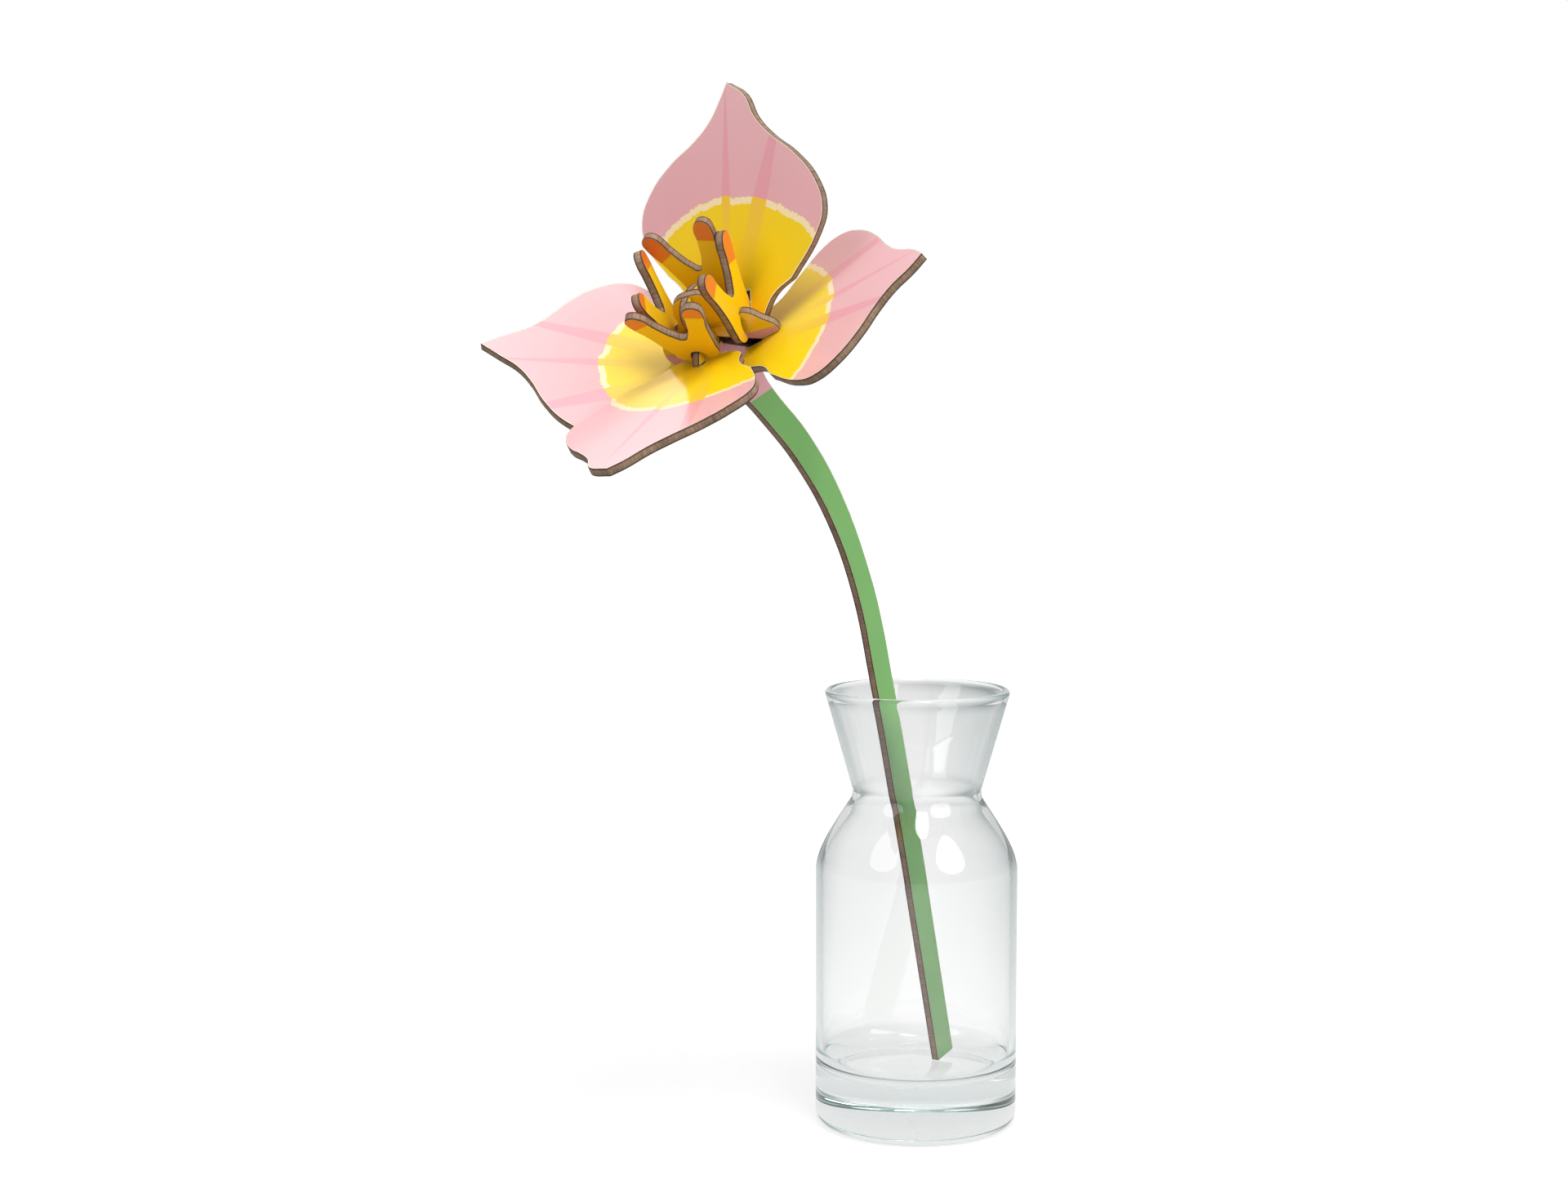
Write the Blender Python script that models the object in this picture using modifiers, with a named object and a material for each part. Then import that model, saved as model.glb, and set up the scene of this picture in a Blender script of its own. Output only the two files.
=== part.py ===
"""A slot-together board tulip standing in a clear glass carafe.

Run it with: blender --background --python part.py

Frame: the carafe's axis is Z and its flat underside is z = 0. The stem board stands in one
vertical plane, and the bloom leans over towards -X and -Y. Sizes are in millimetres and
degrees; the objects are made in metres.
"""
import math

import bmesh
import bpy
from mathutils import Euler, Matrix, Vector

MM = 0.001
SMOOTH = "AUTO"
CORNER = "VECTOR"

# Board
BOARD = 3.0          # thickness of every flat piece
GAP = 0.3            # clearance between pieces that touch
SLOT = BOARD + 2 * GAP

# Carafe
FOOT_R = 40.0        # outer radius of the straight body
WALL = 2.5
BASE_CORNER_R = 5.0
FLOOR_Z = 21.5       # top of the thick solid base
FLOOR_CORNER_R = 10.0
SHOULDER_Z = 102.0
CREASE_Z = 132.0     # narrowest place
CREASE_R = 25.5
RIM_Z = 173.75
RIM_R = 36.45
RIM_WALL = 2.85
VASE_STEPS = 64      # facets round the axis

# Stem plane and bloom frame
STEM_HEADING = -126.0        # compass of the vertical stem plane, from +X
STEM_OFFSET = 2.5            # how far that plane stands off the carafe's axis
BLOOM_X = 128.0              # bloom centre, measured in the stem plane
BLOOM_Z = 307.2
BLOOM_TILT = 49.6            # lean of the bloom's axis from the vertical
CROSS_TURN = 108.0           # the cross board's turn about the bloom's axis, from the stem plane

# Joints between the boards, measured from the bloom's axis
LAP_R = 14.0                 # where a petal's slit ends and the board's notch starts
CROSS_LAP_H = 6.0            # where the stem board's slot ends and the cross board's starts

# Stem board in its own plane: foot, long edges
FOOT_FRONT = (-10.9, FLOOR_Z + GAP)
FOOT_BACK = (-21.7, FLOOR_Z + GAP + 3.1)
STEM_FRONT = [(27.9, 158.0), (35.2, 180.5), (46.9, 214.0), (63.8, 242.7), (84.7, 265.2), (104.7, 280.7)]
STEM_BACK = [(79.5, 275.8), (58.5, 253.1), (38.2, 219.7), (30.7, 201.9), (23.8, 180.6), (16.3, 158.0)]

# Top of the stem board, about the bloom's axis: (outwards towards the front petal, up the axis)
STEM_TOP_FRONT = [(6.5, -22.2), (7.6, -17.0), (10.5, -11.0), (15.0, -3.0), (17.6, 3.0), (17.0, 6.4),
                  (11.1, 12.7), (10.0, 13.8), (8.8, 17.0), (8.4, 22.5), (5.3, 26.8)]
STEM_TOP_BACK = [(-5.3, 26.8), (-8.6, 23.2), (-10.0, 21.2), (-15.5, 20.8), (-19.4, 17.6), (-20.2, 12.5),
                 (-17.5, 3.5), (-12.0, -5.0), (-8.6, -14.0), (-6.2, -23.0), (-5.9, -28.9)]
PISTIL_H = 28.0

# Cross board about the bloom's axis: (outwards towards the right petal, up the axis)
CROSS_RIGHT = [(5.3, 26.8), (8.6, 22.5), (9.2, 17.0), (11.0, 14.8), (15.2, 14.2), (19.5, 9.2), (22.8, 4.4),
               (22.0, 0.0), (16.5, -7.5), (7.0, -13.0)]
CROSS_LEFT = [(-7.0, -13.0), (-16.0, -7.5), (-20.6, 0.0), (-21.2, 5.0), (-19.2, 10.2), (-15.4, 14.2),
              (-11.0, 14.8), (-9.2, 17.0), (-8.6, 22.5), (-5.3, 26.8)]

# Petal outline, half: (along the midline from the bloom's axis, out from the midline)
PETAL_TIP = 85.7
PETAL_SIDE = [(81.7, 5.4, SMOOTH), (74.4, 10.3, SMOOTH), (68.6, 16.8, SMOOTH), (62.5, 25.8, SMOOTH),
              (54.0, 34.0, SMOOTH), (45.0, 37.7, SMOOTH), (37.3, 35.6, SMOOTH), (25.6, 25.4, CORNER),
              (20.6, 18.6, SMOOTH), (15.6, 15.6, SMOOTH), (11.4, 14.0, SMOOTH), (8.2, 9.0, SMOOTH),
              (8.0, 5.0, CORNER)]
BASE_END = 26.0      # where the blade starts on that midline
BLADE_SIDE = 60.0    # where its sides start to close to the tip

# Petals: turn about the bloom's axis, lift up the axis, tilt up from flat, twist
PETALS = {
    "petal_back": (177.5, -1.3, 40.8, 1.4),
    "petal_right": (108.2, -3.7, 14.2, 6.3),
    "petal_front": (7.2, 1.9, 21.9, -4.1),
    "petal_left": (-73.8, -10.9, 26.1, -3.2),
}
# Outlines: size, width, slide outwards of the blade and of the base, skew of the blade, fullness near
# its tip, and the tip's own reach and sideways place
OUTLINES = {
    "petal_back": (1.11, 0.98, -3.1, -3.1, 0.07, 0.85, 0.0, 2.7),
    "petal_right": (0.99, 1.04, 0.4, -0.4, 0.06, 0.90, 0.8, -0.5),
    "petal_front": (1.01, 0.95, 3.2, 0.0, 0.07, 1.35, -0.5, 2.5),
    "petal_left": (1.04, 0.96, 0.5, 2.0, 0.02, 0.95, 3.5, 0.3),
}
WING_TURN = {
    "petal_back": 180.0, "petal_right": CROSS_TURN,
    "petal_front": 0.0, "petal_left": CROSS_TURN + 180.0,
}

# Stamen outline, half: (sideways, up from the foot)
STAMEN_TIP = 11.0
STAMEN_H = 35.9
CROTCH_H = 17.2
STAMEN_SLOT_H = 9.0
STAMEN_SLOT = 5.6
STAMEN_SEAT_H = STAMEN_SLOT_H - 6 * GAP    # top of the wing inside the rounded slot
STAMEN_OUTER = [(4.6, 0.0), (7.6, 2.6), (8.6, 7.5), (9.3, 14.0), (11.4, 23.0), (14.0, 31.0), (13.8, 34.4)]
STAMEN_INNER = [(8.2, 34.2), (6.2, 28.0), (2.6, 19.8)]

# Stamens: wing turn, radius, foot height, turn of the board, lean outwards, roll, added leg
STAMENS = {
    "stamen_back": (180.0, 11.9, 8.9, 190.7, 7.5, -6.2, -3.0),
    "stamen_right": (CROSS_TURN, 10.5, 4.0, 100.9, 6.7, -4.6, 0.0),
    "stamen_front": (0.0, 9.6, 4.7, 12.6, 14.3, -2.9, -3.2),
    "stamen_left": (CROSS_TURN - 180.0, 13.6, 5.9, -64.2, -1.7, 0.5, 0.0),
}

COLOURS = {
    "clear_glass": (0.90, 0.94, 0.93, 0.05),
    "green_board": (0.17, 0.44, 0.14, 0.45),
    "pink_board": (0.88, 0.53, 0.56, 0.45),
    "yellow_board": (0.86, 0.60, 0.02, 0.45),
}


def clear_scene():
    for obj in list(bpy.data.objects):
        bpy.data.objects.remove(obj, do_unlink=True)


def collection(name):
    made = bpy.data.collections.new(name)
    bpy.context.scene.collection.children.link(made)
    return made


def material(name):
    made = bpy.data.materials.new(name)
    made.use_nodes = True
    shader = made.node_tree.nodes["Principled BSDF"]
    *colour, roughness = COLOURS[name]
    shader.inputs["Base Color"].default_value = (*colour, 1.0)
    shader.inputs["Roughness"].default_value = roughness
    shader.inputs["Metallic"].default_value = 0.0
    if name == "clear_glass":
        shader.inputs["Transmission Weight"].default_value = 1.0
    return made


def about_axis(turn):
    """Rotation about the bloom's axis."""
    return Matrix.Rotation(math.radians(turn), 3, "Z")


def arc(centre, radius, start, end, steps):
    """Points on a circle in the profile plane, angles in degrees from +X."""
    angles = [math.radians(start + (end - start) * i / steps) for i in range(steps + 1)]
    return [(centre[0] + radius * math.cos(a), centre[1] + radius * math.sin(a)) for a in angles]


def sweep(start, pull_start, pull_end, end, steps):
    """Points on a cubic curve, without its first point."""
    points = []
    for i in range(1, steps + 1):
        t = i / steps
        weights = ((1 - t) ** 3, 3 * t * (1 - t) ** 2, 3 * t * t * (1 - t), t ** 3)
        corners = (start, pull_start, pull_end, end)
        points.append(tuple(sum(w * c[k] for w, c in zip(weights, corners)) for k in (0, 1)))
    return points


def shoulder_down(inset):
    """The carafe's wall from the rim's straight side down to the body, moved in by inset."""
    cone_top = (RIM_R - 0.35 - inset, RIM_Z - 3.0)
    crease_top = (CREASE_R + 0.4 - inset, CREASE_Z + 3.0)
    crease_low = (CREASE_R + 0.7 - inset, CREASE_Z - 2.0)
    body_top = (FOOT_R - inset, SHOULDER_Z)
    neck = sweep(crease_top, (CREASE_R - 0.1 - inset, CREASE_Z + 1.4), (CREASE_R - inset, CREASE_Z - 0.6),
                 crease_low, 4)
    shoulder = sweep(crease_low, (CREASE_R + 6.0 - inset, CREASE_Z - 10.5),
                     (FOOT_R - inset, SHOULDER_Z + 8.0), body_top, 9)
    return [cone_top, crease_top] + neck + shoulder


def carafe_profile():
    """Up the inside from the floor's centre, over the rim, and down the outside to the underside."""
    floor_corner = arc((FOOT_R - WALL - FLOOR_CORNER_R, FLOOR_Z + FLOOR_CORNER_R), FLOOR_CORNER_R, -90, 0, 5)
    lip = arc((RIM_R - RIM_WALL / 2, RIM_Z - RIM_WALL / 2), RIM_WALL / 2, 180, 0, 6)
    base_corner = arc((FOOT_R - BASE_CORNER_R, BASE_CORNER_R), BASE_CORNER_R, 0, -90, 5)
    inside = [(0.0, FLOOR_Z)] + floor_corner + shoulder_down(WALL)[::-1]
    outside = shoulder_down(0.0) + base_corner + [(0.0, 0.0)]
    return inside + lip + outside


def make_carafe(parts, finish):
    """The carafe: a closed profile turned by a Screw modifier."""
    mesh = bpy.data.meshes.new("glass_vase")
    profile = [(x * MM, 0.0, z * MM) for x, z in carafe_profile()]
    mesh.from_pydata(profile, [(i, i + 1) for i in range(len(profile) - 1)], [])
    obj = bpy.data.objects.new("glass_vase", mesh)
    parts.objects.link(obj)
    turn = obj.modifiers.new("Turn", "SCREW")
    turn.steps = VASE_STEPS
    turn.render_steps = VASE_STEPS
    turn.use_merge_vertices = True
    turn.merge_threshold = 0.0001
    turn.use_smooth_shade = True
    mesh.materials.append(finish)


def board(name, outline, group, finish):
    """A flat piece: a filled 2D curve with thickness, turned into a closed mesh."""
    curve = bpy.data.curves.new(name + "_outline", "CURVE")
    curve.dimensions = "2D"
    curve.fill_mode = "BOTH"
    curve.extrude = BOARD * MM / 2
    curve.resolution_u = 5
    spline = curve.splines.new("BEZIER")
    spline.bezier_points.add(len(outline) - 1)
    for point, (x, y, kind) in zip(spline.bezier_points, outline):
        point.co = (x * MM, y * MM, 0.0)
        point.handle_left_type = kind
        point.handle_right_type = kind
    spline.use_cyclic_u = True
    drawn = bpy.data.objects.new(name + "_outline", curve)
    group.objects.link(drawn)
    evaluated = drawn.evaluated_get(bpy.context.evaluated_depsgraph_get())
    mesh = bpy.data.meshes.new_from_object(evaluated)
    shape = bmesh.new()
    shape.from_mesh(mesh)
    bmesh.ops.remove_doubles(shape, verts=shape.verts, dist=0.00001)
    shape.to_mesh(mesh)
    shape.free()
    mesh.name = name
    mesh.materials.clear()
    mesh.materials.append(finish)
    obj = bpy.data.objects.new(name, mesh)
    obj.matrix_world = drawn.matrix_world
    group.objects.link(obj)
    bpy.data.objects.remove(drawn, do_unlink=True)
    return obj


def place(obj, parent, location, rotation):
    obj.parent = parent
    obj.location = location
    obj.rotation_euler = rotation.to_euler()


def stem_plane_point(outwards, up):
    """A point given about the bloom's axis, in the stem plane's own coordinates."""
    tilt = math.radians(BLOOM_TILT)
    x = BLOOM_X + outwards * math.cos(tilt) + up * math.sin(tilt)
    z = BLOOM_Z - outwards * math.sin(tilt) + up * math.cos(tilt)
    return x, z, SMOOTH


def stem_outline():
    front = [(x, z, SMOOTH) for x, z in STEM_FRONT]
    back = [(x, z, SMOOTH) for x, z in STEM_BACK]
    top = STEM_TOP_FRONT + [(0.0, PISTIL_H)] + STEM_TOP_BACK
    head = [stem_plane_point(x, z) for x, z in top]
    return [(*FOOT_FRONT, CORNER)] + front + head + back + [(*FOOT_BACK, CORNER)]


def cross_outline():
    return [(x, z, SMOOTH) for x, z in CROSS_LEFT + [(0.0, PISTIL_H)] + CROSS_RIGHT]


def petal_outline(size, width, slide, base_slide, skew, fullness, reach, aside):
    outline = [(PETAL_TIP * size + slide + reach, aside, CORNER)]
    for x, y, kind in PETAL_SIDE + [(x, -y, kind) for x, y, kind in reversed(PETAL_SIDE)]:
        if x > BASE_END:
            fuller = 1.0 + (fullness - 1.0) * max(0.0, (x - BLADE_SIDE) / (PETAL_TIP - BLADE_SIDE))
            outline.append((x * size + slide - skew * y, y * size * width * fuller, kind))
        else:
            outline.append((x * size + base_slide, y * size, kind))
    return outline


def stamen_outline(leg, roll):
    """A fork with a slot from its foot, which leans by roll so that it stays upright on the wing."""
    slant = math.tan(math.radians(roll))
    half = STAMEN_SLOT / 2
    round_start = STAMEN_SLOT_H - half
    right = [(half + slant * round_start, round_start, SMOOTH), (half, -leg, CORNER)]
    left = [(-half, -leg, CORNER), (-half + slant * round_start, round_start, SMOOTH)]
    side = [(x, z - (leg if z < CROTCH_H / 2 else 0), SMOOTH) for x, z in STAMEN_OUTER]
    side += [(STAMEN_TIP, STAMEN_H, SMOOTH)]
    side += [(x, z, SMOOTH) for x, z in STAMEN_INNER]
    mirrored = [(-x, z, kind) for x, z, kind in reversed(side)]
    slot_top = (slant * STAMEN_SLOT_H, STAMEN_SLOT_H, SMOOTH)
    return [slot_top] + right + side + [(0.0, CROTCH_H, SMOOTH)] + mirrored + left


def box_cutter(name, cutters, low, high):
    """A box between two corners, in its object's own coordinates."""
    mesh = bpy.data.meshes.new(name)
    shape = bmesh.new()
    bmesh.ops.create_cube(shape, size=1.0)
    size = Vector(high) - Vector(low)
    bmesh.ops.scale(shape, vec=size * MM, verts=shape.verts)
    bmesh.ops.translate(shape, vec=(Vector(high) + Vector(low)) * MM / 2, verts=shape.verts)
    shape.to_mesh(mesh)
    shape.free()
    obj = bpy.data.objects.new(name, mesh)
    obj.hide_render = True
    obj.display_type = "WIRE"
    cutters.objects.link(obj)
    return obj


def cut(obj, cutter):
    slot = obj.modifiers.new(cutter.name, "BOOLEAN")
    slot.operation = "DIFFERENCE"
    slot.solver = "EXACT"
    slot.object = cutter


def petal_pose(turn, lift, tilt, twist):
    """Place of a petal whose printed face meets the bloom's axis at lift."""
    angles = (math.radians(-twist), math.radians(-tilt), math.radians(turn))
    rotation = Euler(angles, "XYZ").to_matrix()
    location = Vector((0.0, 0.0, lift)) - rotation.col[2] * BOARD / 2
    return location * MM, rotation


def stamen_pose(wing, radius, foot, turn, lean, roll):
    """Place of a stamen: its foot on the wing's midline, its outline upright and facing out."""
    location = about_axis(wing) @ Vector((radius, 0.0, 0.0)) + Vector((0.0, 0.0, foot))
    upright = Matrix.Rotation(math.radians(90.0 + lean), 3, "X")
    rolled = Matrix.Rotation(math.radians(roll), 3, "Z")
    return location * MM, about_axis(turn + 90.0) @ upright @ rolled


def make_stem_board(parts, cutters, bloom, finishes):
    obj = board("stem_board", stem_outline(), parts, finishes["green_board"])
    heading = math.radians(STEM_HEADING)
    offset = Vector((-math.sin(heading), math.cos(heading), 0.0)) * STEM_OFFSET * MM
    obj.location = offset
    obj.rotation_euler = (math.radians(90.0), 0.0, heading)
    lap = box_cutter("lap_in_stem_board", cutters, (-60, -SLOT / 2, CROSS_LAP_H), (60, SLOT / 2, 60))
    place(lap, bloom, (0, 0, 0), about_axis(CROSS_TURN))
    cut(obj, lap)
    return obj


def make_cross_board(parts, cutters, bloom, finishes):
    obj = board("cross_board", cross_outline(), parts, finishes["yellow_board"])
    upright = Matrix.Rotation(math.radians(90.0), 3, "X")
    place(obj, bloom, (0, 0, 0), about_axis(CROSS_TURN) @ upright)
    lap = box_cutter("lap_in_cross_board", cutters, (-60, -SLOT / 2, -60), (60, SLOT / 2, CROSS_LAP_H + GAP))
    place(lap, bloom, (0, 0, 0), about_axis(0.0))
    cut(obj, lap)
    return obj


def make_petal(name, wing_board, parts, cutters, bloom, finishes):
    """A petal with a slit at its base, and the notch that it fills in its board."""
    turn, lift, tilt, twist = PETALS[name]
    obj = board(name, petal_outline(*OUTLINES[name]), parts, finishes["pink_board"])
    location, rotation = petal_pose(turn, lift, tilt, twist)
    place(obj, bloom, location, rotation)
    slit = box_cutter("slit_in_" + name, cutters, (0, -SLOT / 2, -40), (LAP_R + 2 * GAP, SLOT / 2, 60))
    place(slit, bloom, (0, 0, 0), about_axis(WING_TURN[name]))
    cut(obj, slit)
    lean = math.radians(tilt)
    start = LAP_R / math.cos(lean) - SLOT * math.tan(lean)
    notch = box_cutter("notch_for_" + name, cutters, (start, -8, -SLOT / 2), (60, 8, SLOT / 2))
    place(notch, bloom, location, rotation)
    cut(wing_board, notch)
    return obj


def make_stamen(name, wing_board, parts, cutters, bloom, finishes):
    """A forked stamen astride its board's wing, and the notch that it fills from above."""
    *where, roll, leg = STAMENS[name]
    obj = board(name, stamen_outline(leg, roll), parts, finishes["yellow_board"])
    location, rotation = stamen_pose(*where, roll)
    place(obj, bloom, location, rotation)
    notch = box_cutter("notch_for_" + name, cutters, (-10, STAMEN_SEAT_H, -SLOT / 2), (10, 60, SLOT / 2))
    place(notch, bloom, location, rotation)
    cut(wing_board, notch)
    return obj


def relieve_back_petal(petal, cutters, bloom):
    """Room in the back petal's base for the right stamen and the cross board beside it."""
    *where, _ = STAMENS["stamen_right"]
    location, rotation = stamen_pose(*where)
    stamen = box_cutter("relief_for_stamen", cutters, (-11, -20, -SLOT / 2), (11, 60, SLOT / 2))
    place(stamen, bloom, location, rotation)
    cut(petal, stamen)
    wing = box_cutter("relief_for_cross_board", cutters, (0, -30, -30), (40, SLOT / 2, 60))
    place(wing, bloom, (0, 0, 0), about_axis(CROSS_TURN))
    cut(petal, wing)


def main():
    clear_scene()
    parts = collection("tulip_in_vase")
    cutters = collection("cutters")
    finishes = {name: material(name) for name in COLOURS}

    bloom = bpy.data.objects.new("bloom_axis", None)
    parts.objects.link(bloom)
    heading = math.radians(STEM_HEADING)
    offset = Vector((-math.sin(heading), math.cos(heading), 0.0)) * STEM_OFFSET
    along = Vector((math.cos(heading), math.sin(heading), 0.0)) * BLOOM_X
    bloom.location = (offset + along + Vector((0.0, 0.0, BLOOM_Z))) * MM
    bloom.rotation_euler = (0.0, math.radians(BLOOM_TILT), heading)

    make_carafe(parts, finishes["clear_glass"])
    stem_board = make_stem_board(parts, cutters, bloom, finishes)
    cross_board = make_cross_board(parts, cutters, bloom, finishes)
    wing_boards = {"back": stem_board, "front": stem_board, "right": cross_board, "left": cross_board}
    petals = {}
    for side, wing_board in wing_boards.items():
        petals[side] = make_petal("petal_" + side, wing_board, parts, cutters, bloom, finishes)
        make_stamen("stamen_" + side, wing_board, parts, cutters, bloom, finishes)
    relieve_back_petal(petals["back"], cutters, bloom)


main()
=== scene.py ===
import math

import bmesh
import bpy
import numpy as np
from mathutils import Matrix, Vector


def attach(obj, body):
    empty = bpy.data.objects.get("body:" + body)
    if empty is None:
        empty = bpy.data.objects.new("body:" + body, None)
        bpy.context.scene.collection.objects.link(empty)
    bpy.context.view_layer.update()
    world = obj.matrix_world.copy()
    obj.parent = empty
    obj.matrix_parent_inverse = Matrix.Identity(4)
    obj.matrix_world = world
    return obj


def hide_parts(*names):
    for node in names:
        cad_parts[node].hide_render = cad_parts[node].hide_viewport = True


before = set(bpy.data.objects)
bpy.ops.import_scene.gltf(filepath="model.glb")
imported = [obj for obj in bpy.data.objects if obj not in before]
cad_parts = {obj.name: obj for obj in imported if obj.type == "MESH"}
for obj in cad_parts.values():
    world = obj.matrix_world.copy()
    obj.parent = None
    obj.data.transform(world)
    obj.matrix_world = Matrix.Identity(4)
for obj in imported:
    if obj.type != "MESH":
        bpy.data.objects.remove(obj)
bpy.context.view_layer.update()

# ---------------------------------------------------------------- studio
# White sweep under a key softbox high in front, a wide fill at each side of it and a faint one overhead. Floor and
# sky look white and light the boards softly. To gloss and through glass they fall off to sea grey at the sides,
# as cards in a real studio make them do.

WHITE, CARD_GREY = "#FFFFFF", "#C9DEDC"


def linear(hex_colour):
    """sRGB hex to linear light: each channel c becomes ((c + 0.055) / 1.055) ^ 2.4, or c / 12.92 when dark."""
    srgb = [int(hex_colour[i:i + 2], 16) / 255 for i in (1, 3, 5)]
    return [c / 12.92 if c <= 0.04045 else ((c + 0.055) / 1.055) ** 2.4 for c in srgb] + [1.0]


def node(tree, kind, inputs=None, **settings):
    """Adds one node. settings are its own properties; inputs gives a value, a hex colour or a link per socket."""
    made = tree.nodes.new(kind)
    for name, value in settings.items():
        setattr(made, name, value)
    for socket, value in (inputs or {}).items():
        if isinstance(value, bpy.types.Node):
            value = value.outputs[0]
        if isinstance(value, bpy.types.NodeSocket):
            tree.links.new(value, made.inputs[socket])
        else:
            made.inputs[socket].default_value = linear(value) if isinstance(value, str) else value
    return made


def blank_material(name):
    """A material with only its output left in it."""
    made = bpy.data.materials.new(name)
    made.use_nodes = True
    tree = made.node_tree
    tree.nodes.clear()
    return made, tree, tree.nodes.new("ShaderNodeOutputMaterial")


def softbox(name, place, aim, size, watts, mirrored):
    """A round area lamp at place, turned towards aim. Gloss shows it only when it is mirrored."""
    lamp = bpy.data.lights.new(name, "AREA")
    lamp.shape = "DISK"
    lamp.size = size
    lamp.energy = watts
    holder = bpy.data.objects.new(name, lamp)
    holder.visible_glossy = mirrored
    holder.location = place
    holder.rotation_euler = (Vector(aim) - Vector(place)).to_track_quat("-Z", "Y").to_euler()
    bpy.context.scene.collection.objects.link(holder)
    return holder


ON_BLOOM, ON_VASE = (-0.07, -0.1, 0.28), (0.0, 0.0, 0.25)
softbox("key_softbox", (0.15, -0.95, 1.9), ON_BLOOM, 0.7, 19.8, True)
softbox("left_fill", (-1.15, -1.0, 1.15), (-0.07, -0.1, 0.25), 1.1, 8.4, False)
softbox("right_fill", (1.05, -1.08, 1.05), ON_VASE, 1.1, 12.5, False)
softbox("overhead_softbox", (-0.15, -0.02, 1.8), (-0.1, -0.08, 0.3), 0.7, 1.3, True)

bpy.context.scene.view_settings.view_transform = "Standard"
sky = bpy.data.worlds.new("white_studio")
sky.use_nodes = True
bpy.context.scene.world = sky
sky_tree = sky.node_tree
sky_tree.nodes.clear()
# Generated is the direction looked in: the level falls off to both sides and towards the front (y < 0). In a Map
# Range, sockets 1 and 2 are where a change starts and ends, and 3 and 4 the levels there; in a Mix, 6 and 7 are
# its two colours.
path = node(sky_tree, "ShaderNodeLightPath")
towards = node(sky_tree, "ShaderNodeTexCoord")
towards = node(sky_tree, "ShaderNodeSeparateXYZ", {0: towards.outputs["Generated"]})
sideways = node(sky_tree, "ShaderNodeMath", {0: towards.outputs["X"]}, operation="ABSOLUTE")
front_fall = node(sky_tree, "ShaderNodeMapRange", {0: towards.outputs["Y"], 1: -0.6, 2: -0.05, 3: 0.35, 4: 1.0},
                  interpolation_type="SMOOTHSTEP")
through_glass = node(sky_tree, "ShaderNodeMapRange", {0: sideways, 1: 0.45, 2: 0.9, 3: 0.95, 4: 0.4},
                     interpolation_type="SMOOTHSTEP")
through_glass = node(sky_tree, "ShaderNodeMath", {0: through_glass, 1: front_fall}, operation="MULTIPLY")
in_gloss = node(sky_tree, "ShaderNodeMapRange", {0: sideways, 1: 0.2, 2: 0.6, 3: 0.95, 4: 0.2},
                interpolation_type="SMOOTHSTEP")
in_gloss = node(sky_tree, "ShaderNodeMath", {0: in_gloss, 1: front_fall}, operation="MULTIPLY")
# to gloss, the wall behind is brighter than white from 15 degrees up
wall_start = node(sky_tree, "ShaderNodeMapRange", {0: towards.outputs["Y"], 1: 0.5, 2: 0.8, 3: 0.0, 4: 0.7})
above = node(sky_tree, "ShaderNodeMapRange", {0: towards.outputs["Z"], 1: 0.25, 2: 0.45, 3: 0.0, 4: 1.0})
wall = node(sky_tree, "ShaderNodeMath", {0: wall_start, 1: above, 2: 1.0}, operation="MULTIPLY_ADD")
in_gloss = node(sky_tree, "ShaderNodeMath", {0: in_gloss, 1: wall}, operation="MULTIPLY")
card = node(sky_tree, "ShaderNodeMapRange", {0: sideways, 1: 0.45, 2: 0.9}, interpolation_type="SMOOTHSTEP")
card = node(sky_tree, "ShaderNodeMix", {0: card, 6: WHITE, 7: CARD_GREY}, data_type="RGBA").outputs[2]
ambient = node(sky_tree, "ShaderNodeBackground", {"Color": WHITE, "Strength": 0.45})
glassy = node(sky_tree, "ShaderNodeBackground", {"Color": card, "Strength": through_glass})
glossy = node(sky_tree, "ShaderNodeBackground", {"Color": WHITE, "Strength": in_gloss})
backdrop = node(sky_tree, "ShaderNodeBackground", {"Color": WHITE, "Strength": 1.0})
shown = node(sky_tree, "ShaderNodeMixShader", {0: path.outputs["Is Glossy Ray"], 1: ambient, 2: glossy})
shown = node(sky_tree, "ShaderNodeMixShader", {0: path.outputs["Is Transmission Ray"], 1: shown, 2: glassy})
shown = node(sky_tree, "ShaderNodeMixShader", {0: path.outputs["Is Camera Ray"], 1: shown, 2: backdrop})
node(sky_tree, "ShaderNodeOutputWorld", {"Surface": shown})

floor_mesh = bpy.data.meshes.new("studio_floor")
floor_mesh.from_pydata([(-4, -4, 0), (4, -4, 0), (4, 4, 0), (-4, 4, 0)], [], [(0, 1, 2, 3)])   # 8 m square
floor = bpy.data.objects.new("studio_floor", floor_mesh)
bpy.context.scene.collection.objects.link(floor)
# it shines a little by itself, so that it comes out white round a soft shadow
paint, tree, out = blank_material("white_matt_sweep")
path = node(tree, "ShaderNodeLightPath")
seen = node(tree, "ShaderNodeMath", {0: path.outputs["Is Glossy Ray"], 1: path.outputs["Is Transmission Ray"]},
            operation="MAXIMUM")
place = node(tree, "ShaderNodeTexCoord")
away = node(tree, "ShaderNodeVectorMath", {0: place.outputs["Object"]}, operation="LENGTH").outputs["Value"]
level = node(tree, "ShaderNodeMapRange", {0: away, 1: 0.15, 2: 0.9, 3: 0.68, 4: 1.0})
across = node(tree, "ShaderNodeSeparateXYZ", {0: place.outputs["Object"]})
across = node(tree, "ShaderNodeMath", {0: across.outputs["X"]}, operation="ABSOLUTE")
side_fall = node(tree, "ShaderNodeMapRange", {0: across, 1: 0.06, 2: 0.4})
dimmed = node(tree, "ShaderNodeMapRange", {0: side_fall, 3: 0.57, 4: 0.23})
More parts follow.
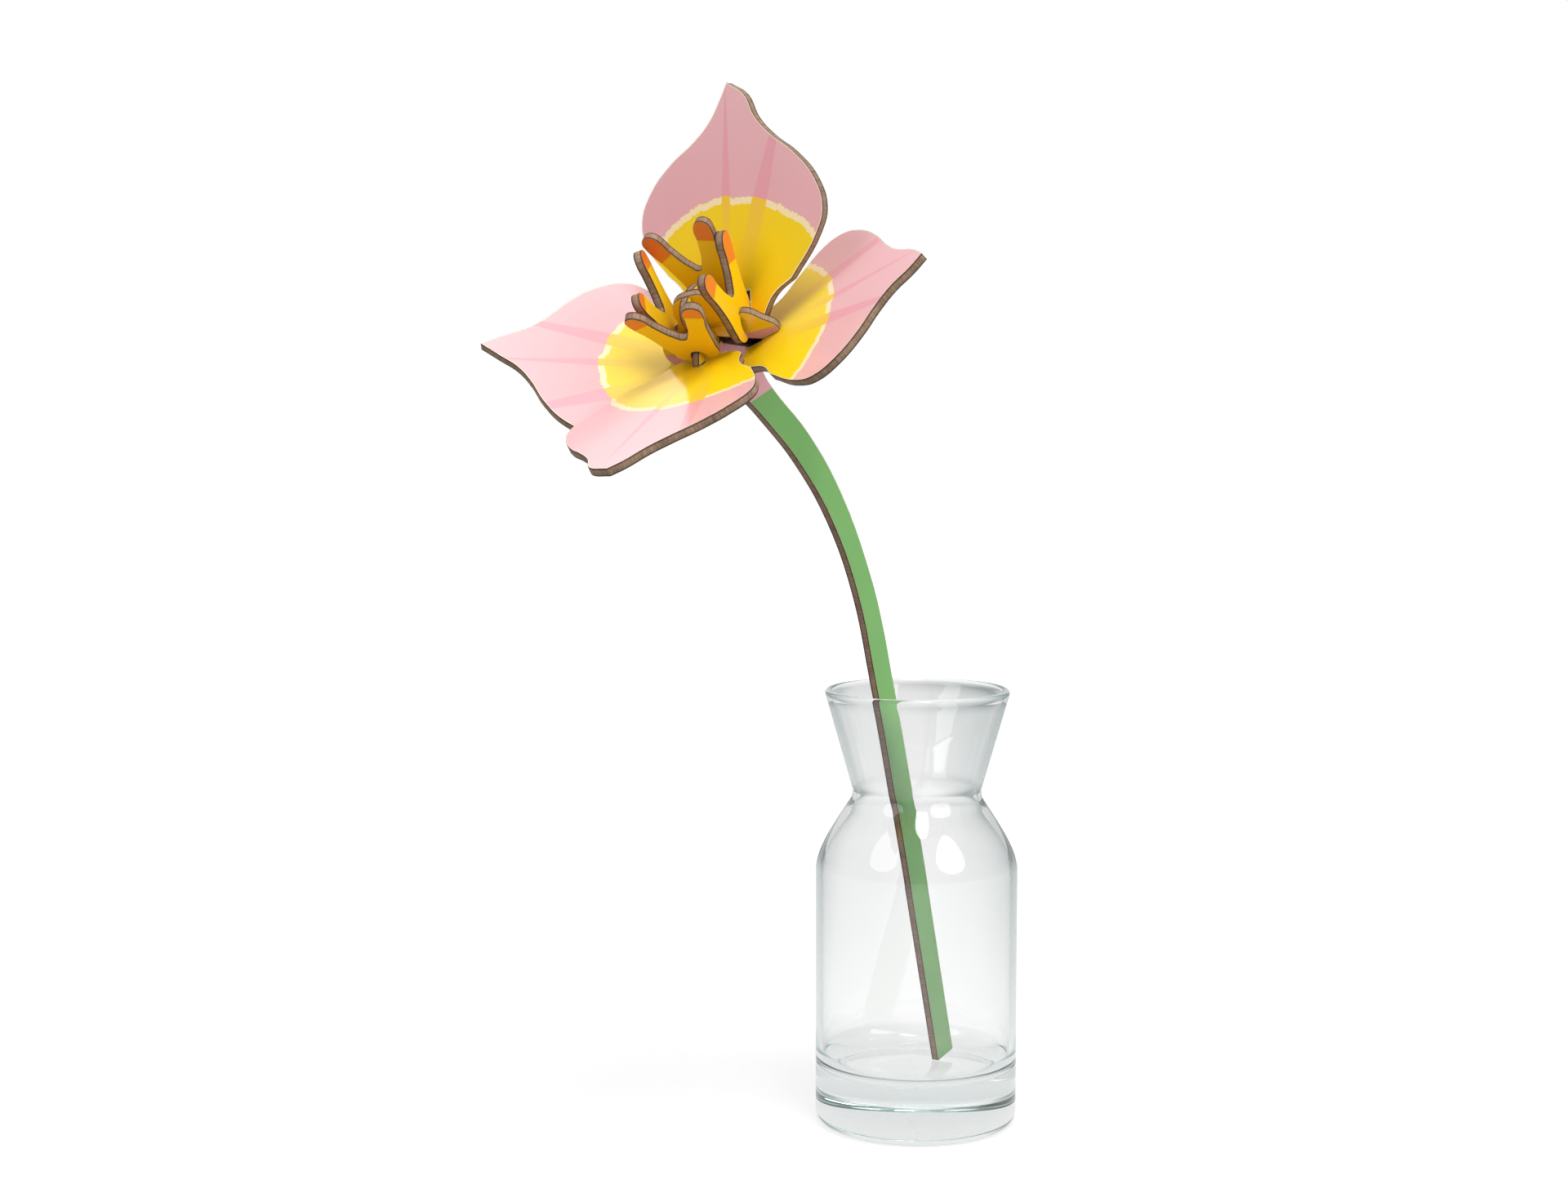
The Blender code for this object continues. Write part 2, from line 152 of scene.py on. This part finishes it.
camera_part = node(tree, "ShaderNodeMath", {0: path.outputs["Is Camera Ray"], 1: level}, operation="MULTIPLY")
other_part = node(tree, "ShaderNodeMath", {0: seen, 1: dimmed}, operation="MULTIPLY")
glow_level = node(tree, "ShaderNodeMath", {0: camera_part, 1: other_part}, operation="ADD")
card = node(tree, "ShaderNodeMix", {0: side_fall, 6: WHITE, 7: CARD_GREY}, data_type="RGBA").outputs[2]
card = node(tree, "ShaderNodeMix", {0: path.outputs["Is Camera Ray"], 6: card, 7: WHITE},
            data_type="RGBA").outputs[2]
glow = node(tree, "ShaderNodeEmission", {"Color": card, "Strength": glow_level})
matt = node(tree, "ShaderNodeBsdfDiffuse", {"Color": (0.38, 0.38, 0.38, 1.0)})
sweep = node(tree, "ShaderNodeAddShader", {0: glow, 1: matt})
tree.links.new(sweep.outputs[0], out.inputs["Surface"])
floor_mesh.materials.append(paint)

# ---------------------------------------------------------------- camera
# A long portrait lens about a metre in front, level with the neck of the bloom and tipped down 5 degrees.

lens = bpy.data.cameras.new("camera")
lens.lens = 58.56
lens.sensor_width = 36.0
lens.sensor_fit = "HORIZONTAL"
lens.clip_start, lens.clip_end = 0.05, 50.0
camera = bpy.data.objects.new("camera", lens)
camera.location = (-0.05265, -1.0, 0.30145)
camera.rotation_euler = (math.radians(84.89), 0.0, 0.0)
bpy.context.scene.collection.objects.link(camera)
bpy.context.scene.camera = camera

# ---------------------------------------------------------------- vase
# A half-litre carafe of clear soda-lime glass, blown into a mould, with a heavy solid base and a fire-polished
# rim. It is one turned shape: inside wall, rolled lip, outside wall and underside.

MM = 0.001             # all sizes below are in millimetres
BODY_R, WALL, FLOOR_Z, FLOOR_CORNER_R, BASE_CORNER_R = 40.0, 2.5, 21.5, 10.0, 5.0
SHOULDER_Z, CREASE_Z, CREASE_R = 102.0, 132.0, 25.5
RIM_Z, RIM_R, RIM_WALL = 173.75, 36.45, 2.85
CREASE_TOP, CREASE_LOW = (0.4, 3.0), (0.7, -2.0)       # ends of the crease, from (CREASE_R, CREASE_Z)
INNER_TOP, INNER_LOW = (1.0, 3.5), (2.1, -3.4)         # how much farther they lie on the inside of the wall


def arc(centre, radius, start, end, count):
    """Points on a circle: centre + radius (cos a, sin a), for count angles from start to end in degrees."""
    a = np.radians(np.linspace(start, end, count))
    return np.stack([centre[0] + radius * np.cos(a), centre[1] + radius * np.sin(a)], axis=1)


def cubic(start, pull_start, pull_end, end, count):
    """Points on a cubic Bezier curve: the four corners weighted by (1-t)^3, 3t(1-t)^2, 3t^2(1-t), t^3."""
    t = np.linspace(0.0, 1.0, count)[:, None]
    weights = np.hstack([(1 - t) ** 3, 3 * t * (1 - t) ** 2, 3 * t * t * (1 - t), t ** 3])
    return weights @ np.array([start, pull_start, pull_end, end], float)


def wall_down(inset):
    """The wall's line from under the lip to the top of the straight body, moved inwards by inset.

    The crease at the neck is softer on the inside of the wall than on the outside.
    """
    soft = inset / WALL
    cone_top = (RIM_R - 0.35 - inset, RIM_Z - 3.0)
    crease_top = (CREASE_R + CREASE_TOP[0] + INNER_TOP[0] * soft - inset,
                  CREASE_Z + CREASE_TOP[1] + INNER_TOP[1] * soft)
    crease_low = (CREASE_R + CREASE_LOW[0] + INNER_LOW[0] * soft - inset,
                  CREASE_Z + CREASE_LOW[1] + INNER_LOW[1] * soft)
    cone = np.linspace(cone_top, crease_top, 10)[:-1]
    crease = cubic(crease_top, (CREASE_R - 0.1 - inset, CREASE_Z + 1.4), (CREASE_R - inset, CREASE_Z - 0.6),
                   crease_low, 9)[:-1]
    shoulder = cubic(crease_low, (CREASE_R + 6.0 - inset, CREASE_Z - 10.5),
                     (BODY_R - inset, SHOULDER_Z + 8.0), (BODY_R - inset, SHOULDER_Z), 26)
    return np.vstack([cone, crease, shoulder])


def turned(name, profile, steps):
    """A profile (r, z) carried round Z: (r cos a, r sin a, z). Ends on the axis close with a fan."""
    a = np.linspace(0.0, 2 * math.pi, steps, endpoint=False)
    ring = profile[1:-1]
    x = ring[:, 0, None] * np.cos(a)
    y = ring[:, 0, None] * np.sin(a)
    z = np.repeat(ring[:, 1, None], steps, axis=1)
    body = np.stack([x, y, z], axis=-1).reshape(-1, 3)
    poles = np.array([[0.0, 0.0, profile[0, 1]], [0.0, 0.0, profile[-1, 1]]])
    i = np.arange(len(ring) - 1)[:, None] * steps
    j = np.arange(steps)
    k = (j + 1) % steps
    walls = np.stack([i + j, i + steps + j, i + steps + k, i + k], axis=-1).reshape(-1, 4)
    last = (len(ring) - 1) * steps
    first_pole, last_pole = len(body), len(body) + 1
    fans = [(first_pole, b, c) for b, c in zip(j.tolist(), k.tolist())]
    fans += [(last_pole, last + c, last + b) for b, c in zip(j.tolist(), k.tolist())]
    mesh = bpy.data.meshes.new(name)
    mesh.from_pydata((np.vstack([body, poles]) * MM).tolist(), [], walls.tolist() + fans)
    mesh.shade_smooth()
    made = bpy.data.objects.new(name, mesh)
    bpy.context.scene.collection.objects.link(made)
    return made


floor_flat = np.linspace((0.0, FLOOR_Z), (BODY_R - WALL - FLOOR_CORNER_R, FLOOR_Z), 6)[:-1]
floor_corner = arc((BODY_R - WALL - FLOOR_CORNER_R, FLOOR_Z + FLOOR_CORNER_R), FLOOR_CORNER_R, -90, 0, 14)
lip = arc((RIM_R - RIM_WALL / 2, RIM_Z - RIM_WALL / 2), RIM_WALL / 2, 180, 0, 15)
base_corner = arc((BODY_R - BASE_CORNER_R, BASE_CORNER_R), BASE_CORNER_R, 0, -90, 14)
underside = np.linspace((BODY_R - BASE_CORNER_R, 0.0), (0.0, 0.0), 5)[1:]
body_low = np.linspace((BODY_R, SHOULDER_Z), (BODY_R, BASE_CORNER_R), 12)[1:-1]
inner_low = np.linspace((BODY_R - WALL, FLOOR_Z + FLOOR_CORNER_R), (BODY_R - WALL, SHOULDER_Z), 12)[1:-1]
carafe = np.vstack([floor_flat, floor_corner, inner_low, wall_down(WALL)[::-1], lip, wall_down(0.0), body_low,
                    base_corner, underside])
vase = turned("clear_carafe", carafe, 160)

# Soda-lime glass, fire polished: colourless across a wall, sea green along the thick base and the lip.
glass, tree, out = blank_material("soda_lime_glass")
clear = node(tree, "ShaderNodeBsdfPrincipled", {"Base Color": WHITE, "Roughness": 0.0, "IOR": 1.52,
                                                "Transmission Weight": 1.0})
# light caught in the solid base gets out sea green after three reflections, where a short path would end black
rays = node(tree, "ShaderNodeLightPath")
caught = node(tree, "ShaderNodeMath", {0: rays.outputs["Glossy Depth"], 1: 2.5}, operation="GREATER_THAN")
escape = node(tree, "ShaderNodeBsdfTransparent", {"Color": "#BCD0CE"})
shell = node(tree, "ShaderNodeMixShader", {0: caught, 1: clear, 2: escape})
tint = node(tree, "ShaderNodeVolumeAbsorption", {"Color": "#8FB9B6", "Density": 3.0})
tree.links.new(shell.outputs[0], out.inputs["Surface"])
tree.links.new(tint.outputs[0], out.inputs["Volume"])
vase.data.materials.append(glass)
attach(vase, "root")
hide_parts("glass_vase")

# ---------------------------------------------------------------- stem board
# The stem and the keel of the bloom, one 3 mm board, printed on both faces and cut by laser.
# Its print is green up to the neck, pink on the keel (painted lighter there as painted light against the bloom's
# shade) and yellow at its top; the cut leaves a browned edge.

BOARD = 3.0
DECIMETRE = 100.0     # millimetres to one unit of the UV map 'print'
STEM_HEADING, STEM_OFFSET = math.radians(-126.0), 2.5
BLOOM_X, BLOOM_Z, BLOOM_TILT = 128.0, 307.2, math.radians(49.6)


def turn_about(degrees, axis):
    return np.array(Matrix.Rotation(math.radians(degrees), 3, axis))


along = np.array([math.cos(STEM_HEADING), math.sin(STEM_HEADING), 0.0])
aside = np.array([-math.sin(STEM_HEADING), math.cos(STEM_HEADING), 0.0])
bloom_centre = aside * STEM_OFFSET + along * BLOOM_X + np.array([0.0, 0.0, BLOOM_Z])
bloom_axes = turn_about(math.degrees(STEM_HEADING), "Z") @ turn_about(math.degrees(BLOOM_TILT), "Y")


FLAT = 0.999             # least cosine between a printed face's normal and the board's
FLUSH = 0.00005          # most metres that it lies off the board's face
LEAST_AREA = 4e-6        # square metres of a face that carries print


def dressed_board(source, name, axes, origin, rim, finishes):
    """A fine copy of a board's solid. Its own plane is x = (p - origin) . axes[0], y = (p - origin) . axes[1].

    Each printed face is one flat polygon with a ring of width rim inside its border, the arris is rounded by
    a Bevel, and three things are kept for the finish: the UV map 'print' is (x, y) in decimetres, 'depth' runs
    from -1 to 1 through the thickness, and 'inner' is 0 on the border and 1 inside the ring.
    """
    shape = bmesh.new()
    shape.from_mesh(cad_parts[source].data)
    bmesh.ops.remove_doubles(shape, verts=shape.verts, dist=0.000002)
    normal = Vector(axes[:, 2])
    middle = Vector(origin * MM)
    flat = [f for f in shape.faces if abs(f.normal.dot(normal)) > FLAT
            and abs(abs((f.calc_center_median() - middle).dot(normal)) - BOARD * MM / 2) < FLUSH]
    for side in (1.0, -1.0):
        region = [f for f in flat if f.is_valid and f.normal.dot(normal) * side > 0]
        bmesh.ops.dissolve_faces(shape, faces=region, use_verts=False)
    printed = [f for f in shape.faces if abs(f.normal.dot(normal)) > FLAT and f.calc_area() > LEAST_AREA]
    inner = shape.verts.layers.float.new("inner")
    for face in shape.faces:
        face.material_index = 1
        face.smooth = True
    for face in printed:
        face.material_index = 0
        face.smooth = False
    bmesh.ops.inset_region(shape, faces=printed, thickness=rim * MM, use_even_offset=True, use_boundary=True)
    for face in printed:
        for corner in face.verts:
            corner[inner] = 1.0
    mesh = bpy.data.meshes.new(name)
    shape.to_mesh(mesh)
    shape.free()
    points = np.empty(len(mesh.vertices) * 3, np.float32)
    mesh.vertices.foreach_get("co", points)
    own = (points.reshape(-1, 3) / MM - origin) @ axes
    corners = np.empty(len(mesh.loops), np.int32)
    mesh.loops.foreach_get("vertex_index", corners)
    uv = mesh.uv_layers.new(name="print")
    uv.data.foreach_set("uv", (own[corners, :2] / DECIMETRE).astype(np.float32).ravel())
    depth = mesh.attributes.new("depth", "FLOAT", "POINT")
    depth.data.foreach_set("value", (own[:, 2] / (BOARD / 2)).astype(np.float32))
    for finish in finishes:
        mesh.materials.append(finish)
    made = bpy.data.objects.new(name, mesh)
    bpy.context.scene.collection.objects.link(made)
    arris = made.modifiers.new("arris", "BEVEL")
    arris.width = 0.00014
    arris.segments = 2
    arris.limit_method = "ANGLE"
    arris.angle_limit = math.radians(50)
    arris.harden_normals = True
    arris.material = 1
    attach(made, "root")
    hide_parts(source)
    return made


# Laser-cut fibreboard edge: toasted taupe with darker grain across the cut and scorched lines by both faces.
cut_edge, tree, out = blank_material("laser_cut_fibreboard_edge")
uv = node(tree, "ShaderNodeUVMap", uv_map="print")
place = node(tree, "ShaderNodeTexCoord")
depth = node(tree, "ShaderNodeAttribute", attribute_name="depth")
streaks = node(tree, "ShaderNodeTexNoise", {"Vector": uv, "Scale": 140.0, "Detail": 3.0, "Roughness": 0.6})
grain = node(tree, "ShaderNodeTexNoise", {"Vector": place.outputs["Object"], "Scale": 1400.0, "Detail": 4.0,
                                          "Roughness": 0.65})
blotch = node(tree, "ShaderNodeTexNoise", {"Vector": place.outputs["Object"], "Scale": 90.0, "Detail": 2.0})
wear = node(tree, "ShaderNodeMath", {0: streaks, 1: 0.45, 2: 0.0}, operation="MULTIPLY_ADD")
wear = node(tree, "ShaderNodeMath", {0: grain, 1: 0.35, 2: wear}, operation="MULTIPLY_ADD")
wear = node(tree, "ShaderNodeMath", {0: blotch, 1: 0.3, 2: wear}, operation="MULTIPLY_ADD")
toast = node(tree, "ShaderNodeValToRGB", {0: wear})
toast.color_ramp.elements[0].position, toast.color_ramp.elements[0].color = 0.36, linear("#5E4738")
toast.color_ramp.elements[1].position, toast.color_ramp.elements[1].color = 0.72, linear("#B49A80")
middle_tone = toast.color_ramp.elements.new(0.54)
middle_tone.color = linear("#8E735E")
off_middle = node(tree, "ShaderNodeMath", {0: depth.outputs["Fac"]}, operation="ABSOLUTE")
scorch = node(tree, "ShaderNodeMapRange", {0: off_middle, 1: 0.45, 2: 0.9, 3: 0.0, 4: 0.92},
              interpolation_type="SMOOTHSTEP")
edge_colour = node(tree, "ShaderNodeMix", {"Factor": scorch, 6: toast, 7: "#35210F"}, data_type="RGBA")
rough = node(tree, "ShaderNodeBump", {"Height": wear, "Strength": 0.35, "Distance": 0.0002})
skin = node(tree, "ShaderNodeBsdfPrincipled", {"Base Color": edge_colour.outputs[2], "Roughness": 0.72,
                                               "Normal": rough})
tree.links.new(skin.outputs[0], out.inputs["Surface"])


def satin_print(tree, out, colour, rim_colour="#F3E4CC", rim_at=0.45):
    """Matt-laminated ink on board: the print's colour, a bare pale line along its border and a satin coat."""
    inner = node(tree, "ShaderNodeAttribute", attribute_name="inner")
    border = node(tree, "ShaderNodeMath", {0: inner.outputs["Fac"], 1: rim_at}, operation="LESS_THAN")
    faced = node(tree, "ShaderNodeMix", {"Factor": border, 6: colour, 7: rim_colour}, data_type="RGBA")
    place = node(tree, "ShaderNodeTexCoord")
    weave = node(tree, "ShaderNodeTexNoise", {"Vector": place.outputs["Object"], "Scale": 900.0, "Detail": 2.0})
    bump = node(tree, "ShaderNodeBump", {"Height": weave, "Strength": 0.12, "Distance": 0.0001})
    skin = node(tree, "ShaderNodeBsdfPrincipled", {
        "Base Color": faced.outputs[2], "Roughness": 0.5, "Specular IOR Level": 0.2, "Normal": bump,
        "Coat Weight": 1.0, "Coat Roughness": 0.16})
    tree.links.new(skin.outputs[0], out.inputs["Surface"])


# Printed board of the stem: leaf green with a slow change of tone, then old pink painted lighter than its print as
# painted light where the bloom shades the neck, then yellow at the top.
NECK_SLOPE, NECK_AT, KEEL_AT = 0.54, -0.257, 0.04   # neck line and lower edge of the yellow, in decimetres
KEEL_YELLOW = "#F0C410"
stem_print, tree, out = blank_material("printed_stem_board")
uv = node(tree, "ShaderNodeUVMap", uv_map="print")
here = node(tree, "ShaderNodeSeparateXYZ", {0: uv})
tone = node(tree, "ShaderNodeTexNoise", {"Vector": uv, "Scale": 2.2, "Detail": 2.0})
leaf = node(tree, "ShaderNodeMix", {"Factor": tone.outputs[0], 6: "#76B461", 7: "#8BC576"}, data_type="RGBA")
# the neck line falls 6.7 mm for every 12.4 mm towards the back petal
neck = node(tree, "ShaderNodeMath", {0: here.outputs["X"], 1: -NECK_SLOPE, 2: here.outputs["Y"]},
            operation="MULTIPLY_ADD")
above_neck = node(tree, "ShaderNodeMath", {0: neck, 1: NECK_AT}, operation="GREATER_THAN")
# above the neck line: old pink, painted lighter than the print as painted light where the bloom shades the neck
leaf_and_lightened_neck = node(tree, "ShaderNodeMix", {"Factor": above_neck, 6: leaf.outputs[2], 7: "#F6B2BE"}, data_type="RGBA")
above_keel = node(tree, "ShaderNodeMath", {0: here.outputs["Y"], 1: KEEL_AT}, operation="GREATER_THAN")
stem_colour = node(tree, "ShaderNodeMix", {"Factor": above_keel, 6: leaf_and_lightened_neck.outputs[2], 7: KEEL_YELLOW},
                   data_type="RGBA")
satin_print(tree, out, stem_colour.outputs[2], "#B9B08A", 0.3)

stem_axes = bloom_axes @ np.array([[1.0, 0.0, 0.0], [0.0, 0.0, -1.0], [0.0, 1.0, 0.0]])
stem = dressed_board("stem_board", "printed_stem", stem_axes, bloom_centre, 0.6, [stem_print, cut_edge])

# ---------------------------------------------------------------- cross board
# The second keel, pushed down into the stem board's slot: printed yellow above and old pink below.

CROSS_TURN = 108.0
keel_print, tree, out = blank_material("printed_keel_board")
uv = node(tree, "ShaderNodeUVMap", uv_map="print")
here = node(tree, "ShaderNodeSeparateXYZ", {0: uv})
above = node(tree, "ShaderNodeMath", {0: here.outputs["Y"], 1: 0.05}, operation="GREATER_THAN")
keel_colour = node(tree, "ShaderNodeMix", {"Factor": above, 6: "#DB9A9F", 7: KEEL_YELLOW}, data_type="RGBA")
satin_print(tree, out, keel_colour.outputs[2], "#E9D29A", 0.4)
cross_axes = bloom_axes @ turn_about(CROSS_TURN, "Z") @ turn_about(90.0, "X")
cross = dressed_board("cross_board", "printed_cross_keel", cross_axes, bloom_centre, 0.6, [keel_print, cut_edge])

# ---------------------------------------------------------------- petals
# Four flat petals, each pushed on to a keel by the slit in its base. The print is pink with a yellow throat,
# a broken cream line round the throat and two or three darker rays that run out from the centre.

PETAL_PINKS = ("#E1A6AB", "#EAB8BB", "#E49DA7")   # near the throat, near the border, in the rays
PETALS = {  # turn, lift, tilt, twist; size of the print, skew and bow of its throat, angles of its rays
    "petal_back": (177.5, -1.3, 40.8, 1.4, 1.11, -4.0, 0.0, (-14.4, 2.0)),
    "petal_right": (108.2, -3.7, 14.2, 6.3, 0.99, -5.7, 0.0, (-11.5, 2.5, 19.5)),
    "petal_front": (7.2, 1.9, 21.9, -4.1, 1.01, 3.5, -2.0, (17.5, -1.0)),
    "petal_left": (-73.8, -10.9, 26.1, -3.2, 1.04, 0.0, -11.0, (-9.5, 4.5, 23.5)),
}
THROAT_R = 48.0       # radius of the throat's edge, from the bloom's axis
THROAT_LINE = 2.2     # width of its cream line
WANDER = 4.0          # how far in and out its edge may go, in all
RAY_WIDTHS = ((2.9, 0.06), (1.7, 0.046), (2.9, 0.06))   # half width at the throat, taper


def petal_print(name, size, skew, bow, angles):
    """The petal's print, in polar terms about the bloom's axis: r = |(x, y)|, a = atan2(y, x)."""
    made, tree, out = blank_material(name)
    uv = node(tree, "ShaderNodeUVMap", uv_map="print")
    spot = node(tree, "ShaderNodeVectorMath", {0: uv, "Scale": DECIMETRE / size}, operation="SCALE")
    here = node(tree, "ShaderNodeSeparateXYZ", {0: spot})
    r = node(tree, "ShaderNodeVectorMath", {0: spot}, operation="LENGTH").outputs["Value"]
    a = node(tree, "ShaderNodeMath", {0: here.outputs["Y"], 1: here.outputs["X"]}, operation="ARCTAN2")
    # the throat's edge is THROAT_R + skew a + bow a^2, and wanders a little in steps
    wander = node(tree, "ShaderNodeTexNoise", {"W": a, "Scale": 5.5, "Detail": 3.0, "Roughness": 0.7},
                  noise_dimensions="1D")
    edge = node(tree, "ShaderNodeMath", {0: a, 1: bow, 2: skew}, operation="MULTIPLY_ADD")
    edge = node(tree, "ShaderNodeMath", {0: a, 1: edge, 2: THROAT_R - WANDER / 2}, operation="MULTIPLY_ADD")
    edge = node(tree, "ShaderNodeMath", {0: wander, 1: WANDER, 2: edge}, operation="MULTIPLY_ADD")
    edge = node(tree, "ShaderNodeMath", {0: edge, 1: 0.4}, operation="SNAP")
    inside = node(tree, "ShaderNodeMath", {0: r, 1: edge}, operation="LESS_THAN")
    line_start = node(tree, "ShaderNodeMath", {0: edge, 1: THROAT_LINE}, operation="SUBTRACT")
    on_line = node(tree, "ShaderNodeMath", {0: r, 1: line_start}, operation="GREATER_THAN")
    rays = 0.0
    for angle, (half, taper) in zip(angles, RAY_WIDTHS):
        off = node(tree, "ShaderNodeMath", {0: a, 1: math.radians(angle)}, operation="SUBTRACT")
        off = node(tree, "ShaderNodeMath", {0: off}, operation="SINE")
        off = node(tree, "ShaderNodeMath", {0: off, 1: r}, operation="MULTIPLY")
        off = node(tree, "ShaderNodeMath", {0: off}, operation="ABSOLUTE")
        beyond = node(tree, "ShaderNodeMath", {0: r, 1: THROAT_R}, operation="SUBTRACT")
        beyond = node(tree, "ShaderNodeMath", {0: beyond, 1: 0.0}, operation="MAXIMUM")
        width = node(tree, "ShaderNodeMath", {0: beyond, 1: -taper, 2: half}, operation="MULTIPLY_ADD")
        ray = node(tree, "ShaderNodeMath", {0: off, 1: width}, operation="LESS_THAN")
        rays = node(tree, "ShaderNodeMath", {0: ray, 1: rays}, operation="MAXIMUM")
    # pink field, paler towards the border, with a slow change of tone
    tone = node(tree, "ShaderNodeTexNoise", {"Vector": uv, "Scale": 3.0, "Detail": 2.0})
    far = node(tree, "ShaderNodeMapRange", {0: r, 1: 50.0, 2: 85.0, 3: 0.0, 4: 0.5})
    mix = node(tree, "ShaderNodeMath", {0: tone, 1: 0.5, 2: far}, operation="MULTIPLY_ADD")
    field = node(tree, "ShaderNodeMix", {"Factor": mix, 6: PETAL_PINKS[0], 7: PETAL_PINKS[1]}, data_type="RGBA")
    ray_pink = node(tree, "ShaderNodeMath", {0: rays, 1: 0.9}, operation="MULTIPLY")
    outer = node(tree, "ShaderNodeMix", {"Factor": ray_pink, 6: field.outputs[2], 7: PETAL_PINKS[2]},
                 data_type="RGBA")
    # yellow throat, darker and deeper yellow towards the slit as painted shade of the stamens; the rays go on
    # through it in warm yellow and fade
    out_of_stamen_shade = node(tree, "ShaderNodeMapRange", {0: r, 1: 12.0, 2: 40.0, 3: 0.0, 4: 1.0},
                interpolation_type="SMOOTHSTEP")
    throat = node(tree, "ShaderNodeMix", {"Factor": out_of_stamen_shade, 6: "#EBBE08", 7: "#F2D012"}, data_type="RGBA")
    fade = node(tree, "ShaderNodeMapRange", {0: r, 1: 26.0, 2: 46.0, 3: 0.0, 4: 0.75})
    warm = node(tree, "ShaderNodeMath", {0: rays, 1: fade}, operation="MULTIPLY")
    throat = node(tree, "ShaderNodeMix", {"Factor": warm, 6: throat.outputs[2], 7: "#F0BF42"}, data_type="RGBA")
    gap = node(tree, "ShaderNodeMath", {0: 1.0, 1: rays}, operation="SUBTRACT")
    cream = node(tree, "ShaderNodeMath", {0: on_line, 1: gap}, operation="MULTIPLY")
    throat = node(tree, "ShaderNodeMix", {"Factor": cream, 6: throat.outputs[2], 7: "#F6E2B0"}, data_type="RGBA")
    colour = node(tree, "ShaderNodeMix", {"Factor": inside, 6: outer.outputs[2], 7: throat.outputs[2]},
                  data_type="RGBA")
    satin_print(tree, out, colour.outputs[2])
    return made


for petal, (turn, lift, tilt, twist, *drawn) in PETALS.items():
    own_axes = turn_about(turn, "Z") @ turn_about(-tilt, "Y") @ turn_about(-twist, "X")
    own_origin = np.array([0.0, 0.0, lift]) - own_axes[:, 2] * BOARD / 2
    finish = petal_print(petal + "_print", *drawn)
    made = dressed_board(petal, "printed_" + petal, bloom_axes @ own_axes,
                         bloom_centre + bloom_axes @ own_origin, 0.7, [finish, cut_edge])

# ---------------------------------------------------------------- stamens
# Four forked boards that stand astride the keels, printed deep yellow with orange finger ends.

FINGER_ACROSS, FINGER_ALONG = 0.35, 0.937   # sine and cosine of a finger's lean, 20.5 degrees
STAMENS = {  # wing turn, radius, foot height, turn, lean, roll; where its two finger ends start
    "stamen_back": (180.0, 11.9, 8.9, 190.7, 7.5, -6.2, 29.5, 27.0),
    "stamen_right": (CROSS_TURN, 10.5, 4.0, 100.9, 6.7, -4.6, 29.5, 26.5),
    "stamen_front": (0.0, 9.6, 4.7, 12.6, 14.3, -2.9, 31.0, 31.5),
    "stamen_left": (CROSS_TURN - 180.0, 13.6, 5.9, -64.2, -1.7, 0.5, 31.0, 33.0),
}


def stamen_print(name, low_cap, high_cap):
    """A stamen's print. Its orange finger ends start low_cap and high_cap up the fingers at x < 0 and x > 0."""
    made, tree, out = blank_material(name)
    uv = node(tree, "ShaderNodeUVMap", uv_map="print")
    here = node(tree, "ShaderNodeSeparateXYZ", {0: uv})
    sideways = node(tree, "ShaderNodeMath", {0: here.outputs["X"]}, operation="ABSOLUTE")
    reach = node(tree, "ShaderNodeMath", {0: sideways, 1: FINGER_ACROSS}, operation="MULTIPLY")
    reach = node(tree, "ShaderNodeMath", {0: here.outputs["Y"], 1: FINGER_ALONG, 2: reach},
                 operation="MULTIPLY_ADD")
    start = node(tree, "ShaderNodeMapRange", {0: here.outputs["X"], 1: -0.001, 2: 0.001, 3: low_cap / DECIMETRE,
                                              4: high_cap / DECIMETRE})
    tip = node(tree, "ShaderNodeMath", {0: reach, 1: start}, operation="GREATER_THAN")
    rise = node(tree, "ShaderNodeMapRange", {0: here.outputs["Y"], 1: 0.0, 2: 0.3, 3: 0.0, 4: 1.0})
    body = node(tree, "ShaderNodeMix", {"Factor": rise, 6: "#EFBC06", 7: "#F4C80E"}, data_type="RGBA")
    colour = node(tree, "ShaderNodeMix", {"Factor": tip, 6: body.outputs[2], 7: "#E67A2C"}, data_type="RGBA")
    satin_print(tree, out, colour.outputs[2], "#F6DFA0", 0.4)
    return made


for stamen, (wing, radius, foot, turn, lean, roll, low_cap, high_cap) in STAMENS.items():
    own_axes = turn_about(turn + 90.0, "Z") @ turn_about(90.0 + lean, "X") @ turn_about(roll, "Z")
    own_origin = turn_about(wing, "Z") @ np.array([radius, 0.0, 0.0]) + np.array([0.0, 0.0, foot])
    made = dressed_board(stamen, "printed_" + stamen, bloom_axes @ own_axes,
                         bloom_centre + bloom_axes @ own_origin, 0.5,
                         [stamen_print(stamen + "_print", low_cap, high_cap), cut_edge])
